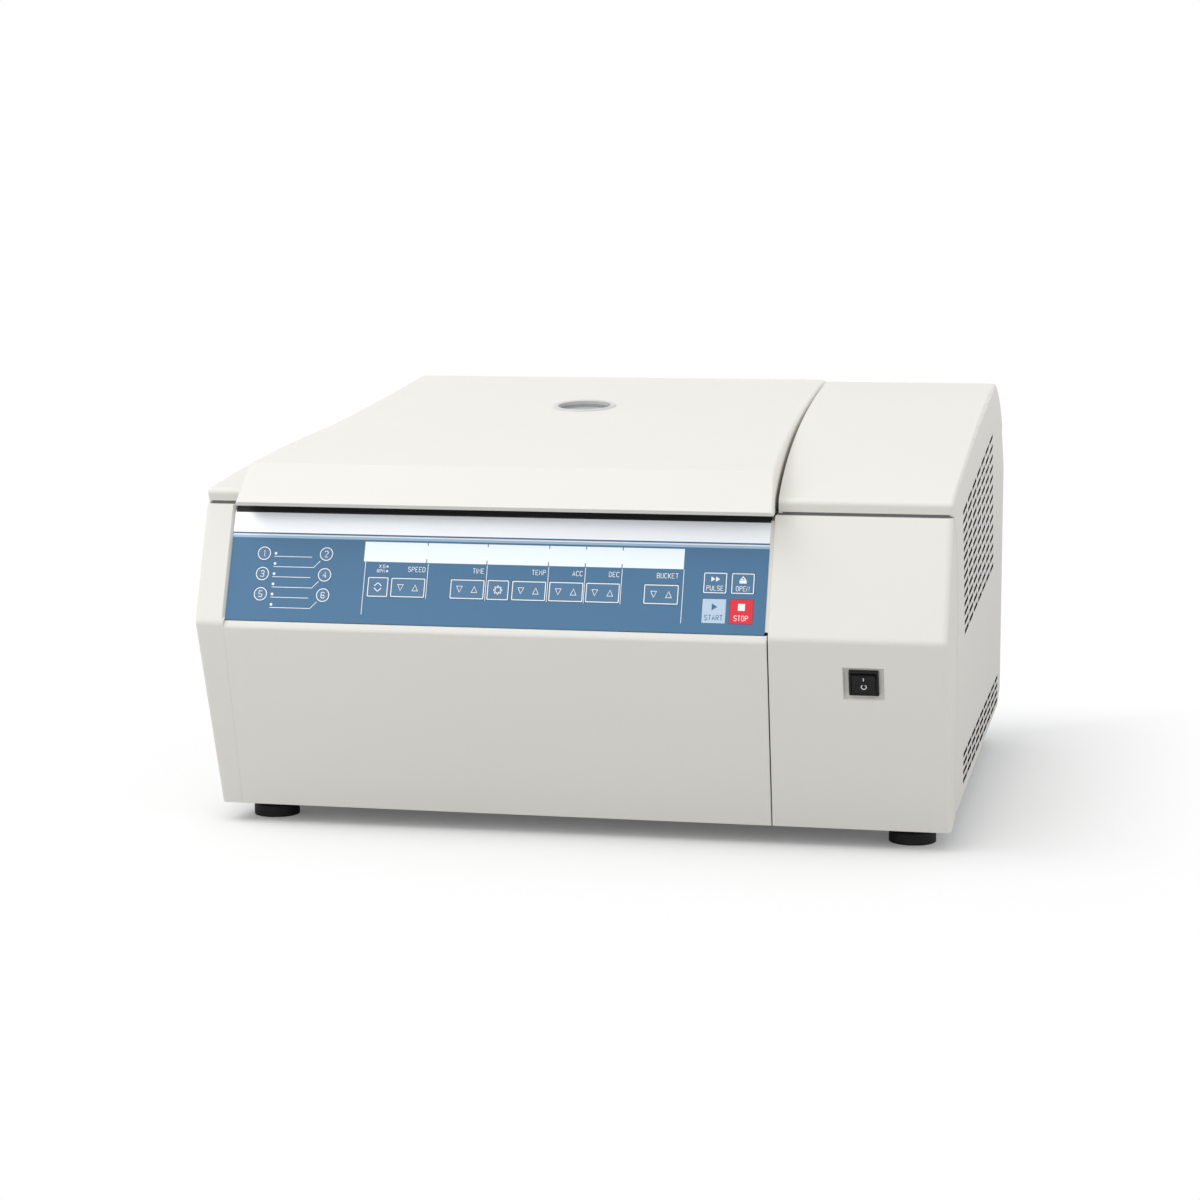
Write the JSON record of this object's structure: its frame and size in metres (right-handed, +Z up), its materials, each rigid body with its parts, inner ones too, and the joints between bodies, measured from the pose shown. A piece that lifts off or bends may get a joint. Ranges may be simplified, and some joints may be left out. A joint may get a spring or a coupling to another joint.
{
  "type": "refrigerated benchtop centrifuge",
  "caption": "Low bench-top centrifuge with a wide flat sloping lid and sight glass, sloped blue key fascia, side cooling bay with louvres and a swing-out rotor for microplates.",
  "frame": {"origin": "middle of the casing's footprint, on the bench under the feet", "axes": "+X towards the cooling bay at the user's right, +Y towards the rear panel, +Z up; the control fascia faces -Y"},
  "size_m": [0.62, 0.6045, 0.3596],
  "materials": {
    "casing": "fine satin, warm off-white",
    "painted_sheet": "light grey powder coat",
    "stainless": "brushed",
    "steel": "machined",
    "aluminium": "anodised satin",
    "rubber_black": "matte",
    "rubber_grey": "matte",
    "black_plastic": "satin",
    "keypad_blue": "fine matte foil",
    "key_blue": "fine matte foil",
    "start_blue": "fine matte foil",
    "stop_red": "fine matte foil",
    "display": "clear gloss over a pale panel",
    "sight_glass": "polished",
    "ring_grey": "satin",
    "foam": "rigid foam",
    "copper": "drawn tube",
    "board": "solder mask",
    "black_enamel": "gloss enamel"
  },
  "bodies": {
    "cabinet": {"base_pan": "painted_sheet", "feet": "rubber_black", "left_cover": "casing", "left_front_strip": "casing", "front_panel": "casing", "cooling_front_panel": "casing", "cooling_cover": "casing", "rear_cover": "casing", "rear_panel": "painted_sheet", "deck": "casing", "fascia_panel": "casing", "keypad_foil": "keypad_blue", "display_window": "display", "control_board": "board", "chamber_bowl": "stainless", "chamber_insulation": "foam", "evaporator_coil": "copper", "chamber_seal": "rubber_grey", "drive_motor": "aluminium", "vibration_mounts": "rubber_black", "latch_housings": "steel", "hinge_brackets": "steel", "compressor": "black_enamel", "condenser": "aluminium", "fan_shroud": "black_plastic", "refrigerant_pipes": "copper", "motor_controller": "painted_sheet", "mains_inlet": "black_plastic", "switch_bezel": "black_plastic"},
    "lid": {"lid_shell": "casing", "lid_frame": "stainless", "sight_ring": "ring_grey", "sight_glass": "sight_glass", "latch_bolts": "steel"},
    "rotor": {"drive_shaft": "steel", "rotor_yoke": "aluminium", "rotor_knob": "steel"},
    "carrier_1": {"plate_carrier_1": "aluminium"},
    "carrier_2": {"plate_carrier_2": "aluminium"},
    "latch": {"latch_bar": "steel"},
    "fan": {"condenser_fan": "black_plastic"},
    "rocker": {"switch_rocker": "black_plastic"},
    "speed_pad": {"speed_rocker_key": "key_blue"},
    "time_pad": {"time_rocker_key": "key_blue"},
    "temperature_pad": {"temperature_rocker_key": "key_blue"},
    "acceleration_pad": {"acceleration_rocker_key": "key_blue"},
    "braking_pad": {"braking_rocker_key": "key_blue"},
    "bucket_pad": {"bucket_rocker_key": "key_blue"},
    "unit_pad": {"unit_key": "key_blue"},
    "precool_pad": {"precool_key": "key_blue"},
    "pulse_pad": {"pulse_key": "key_blue"},
    "open_pad": {"open_key": "key_blue"},
    "start_pad": {"start_key": "start_blue"},
    "stop_pad": {"stop_key": "stop_red"},
    "program_1_pad": {"program_key_1": "key_blue"},
    "program_2_pad": {"program_key_2": "key_blue"},
    "program_3_pad": {"program_key_3": "key_blue"},
    "program_4_pad": {"program_key_4": "key_blue"},
    "program_5_pad": {"program_key_5": "key_blue"},
    "program_6_pad": {"program_key_6": "key_blue"}
  },
  "joints": [
    {"name": "lid_hinge", "type": "hinge", "parent": "cabinet", "child": "lid", "pos_m": [-0.053, 0.2245, 0.29], "axis": [-1, 0, 0], "range_deg": [0, 80]},
    {"name": "rotor_spin", "type": "hinge", "parent": "cabinet", "child": "rotor", "pos_m": [-0.053, 0.0175, 0.212], "axis": [0, 0, 1], "continuous": true},
    {"name": "carrier_1_swing", "type": "hinge", "parent": "rotor", "child": "carrier_1", "pos_m": [0.019, 0.0175, 0.212], "axis": [0, -1, 0], "range_deg": [0, 90]},
    {"name": "carrier_2_swing", "type": "hinge", "parent": "rotor", "child": "carrier_2", "pos_m": [-0.125, 0.0175, 0.212], "axis": [0, 1, 0], "range_deg": [0, 90]},
    {"name": "latch_turn", "type": "hinge", "parent": "cabinet", "child": "latch", "pos_m": [-0.053, -0.2005, 0.241], "axis": [1, 0, 0], "range_deg": [0, 50]},
    {"name": "fan_spin", "type": "hinge", "parent": "cabinet", "child": "fan", "pos_m": [0.248, -0.0675, 0.113], "axis": [1, 0, 0], "continuous": true},
    {"name": "power_rocker", "type": "hinge", "parent": "cabinet", "child": "rocker", "pos_m": [0.243, -0.28612, 0.14402], "axis": [-1, 0, 0], "range_deg": [0, 12]},
    {"name": "speed_rock", "type": "hinge", "parent": "cabinet", "child": "speed_pad", "pos_m": [-0.1309, -0.28788, 0.21028], "axis": [0, 0.3431, 0.9393], "range_deg": [-0.6, 0.6], "stiffness_Nm_per_rad": 0.02},
    {"name": "time_rock", "type": "hinge", "parent": "cabinet", "child": "time_pad", "pos_m": [-0.0809, -0.28788, 0.21028], "axis": [0, 0.3431, 0.9393], "range_deg": [-0.6, 0.6], "stiffness_Nm_per_rad": 0.02},
    {"name": "temperature_rock", "type": "hinge", "parent": "cabinet", "child": "temperature_pad", "pos_m": [-0.0294, -0.28788, 0.21028], "axis": [0, 0.3431, 0.9393], "range_deg": [-0.6, 0.6], "stiffness_Nm_per_rad": 0.02},
    {"name": "acceleration_rock", "type": "hinge", "parent": "cabinet", "child": "acceleration_pad", "pos_m": [0.0014, -0.28788, 0.21028], "axis": [0, 0.3431, 0.9393], "range_deg": [-0.6, 0.6], "stiffness_Nm_per_rad": 0.02},
    {"name": "braking_rock", "type": "hinge", "parent": "cabinet", "child": "braking_pad", "pos_m": [0.0316, -0.28788, 0.21028], "axis": [0, 0.3431, 0.9393], "range_deg": [-0.6, 0.6], "stiffness_Nm_per_rad": 0.02},
    {"name": "bucket_rock", "type": "hinge", "parent": "cabinet", "child": "bucket_pad", "pos_m": [0.0796, -0.28788, 0.21028], "axis": [0, 0.3431, 0.9393], "range_deg": [-0.6, 0.6], "stiffness_Nm_per_rad": 0.02},
    {"name": "unit_press", "type": "slide", "parent": "cabinet", "child": "unit_pad", "axis": [0, 0.9393, -0.3431], "range_m": [0, 0.00035], "stiffness_N_per_m": 400},
    {"name": "precool_press", "type": "slide", "parent": "cabinet", "child": "precool_pad", "axis": [0, 0.9393, -0.3431], "range_m": [0, 0.00035], "stiffness_N_per_m": 400},
    {"name": "pulse_press", "type": "slide", "parent": "cabinet", "child": "pulse_pad", "axis": [0, 0.9393, -0.3431], "range_m": [0, 0.00035], "stiffness_N_per_m": 400},
    {"name": "open_press", "type": "slide", "parent": "cabinet", "child": "open_pad", "axis": [0, 0.9393, -0.3431], "range_m": [0, 0.00035], "stiffness_N_per_m": 400},
    {"name": "start_press", "type": "slide", "parent": "cabinet", "child": "start_pad", "axis": [0, 0.9393, -0.3431], "range_m": [0, 0.00035], "stiffness_N_per_m": 400},
    {"name": "stop_press", "type": "slide", "parent": "cabinet", "child": "stop_pad", "axis": [0, 0.9393, -0.3431], "range_m": [0, 0.00035], "stiffness_N_per_m": 400},
    {"name": "program_1_press", "type": "slide", "parent": "cabinet", "child": "program_1_pad", "axis": [0, 0.9393, -0.3431], "range_m": [0, 0.00035], "stiffness_N_per_m": 400},
    {"name": "program_2_press", "type": "slide", "parent": "cabinet", "child": "program_2_pad", "axis": [0, 0.9393, -0.3431], "range_m": [0, 0.00035], "stiffness_N_per_m": 400},
    {"name": "program_3_press", "type": "slide", "parent": "cabinet", "child": "program_3_pad", "axis": [0, 0.9393, -0.3431], "range_m": [0, 0.00035], "stiffness_N_per_m": 400},
    {"name": "program_4_press", "type": "slide", "parent": "cabinet", "child": "program_4_pad", "axis": [0, 0.9393, -0.3431], "range_m": [0, 0.00035], "stiffness_N_per_m": 400},
    {"name": "program_5_press", "type": "slide", "parent": "cabinet", "child": "program_5_pad", "axis": [0, 0.9393, -0.3431], "range_m": [0, 0.00035], "stiffness_N_per_m": 400},
    {"name": "program_6_press", "type": "slide", "parent": "cabinet", "child": "program_6_pad", "axis": [0, 0.9393, -0.3431], "range_m": [0, 0.00035], "stiffness_N_per_m": 400}
  ]
}
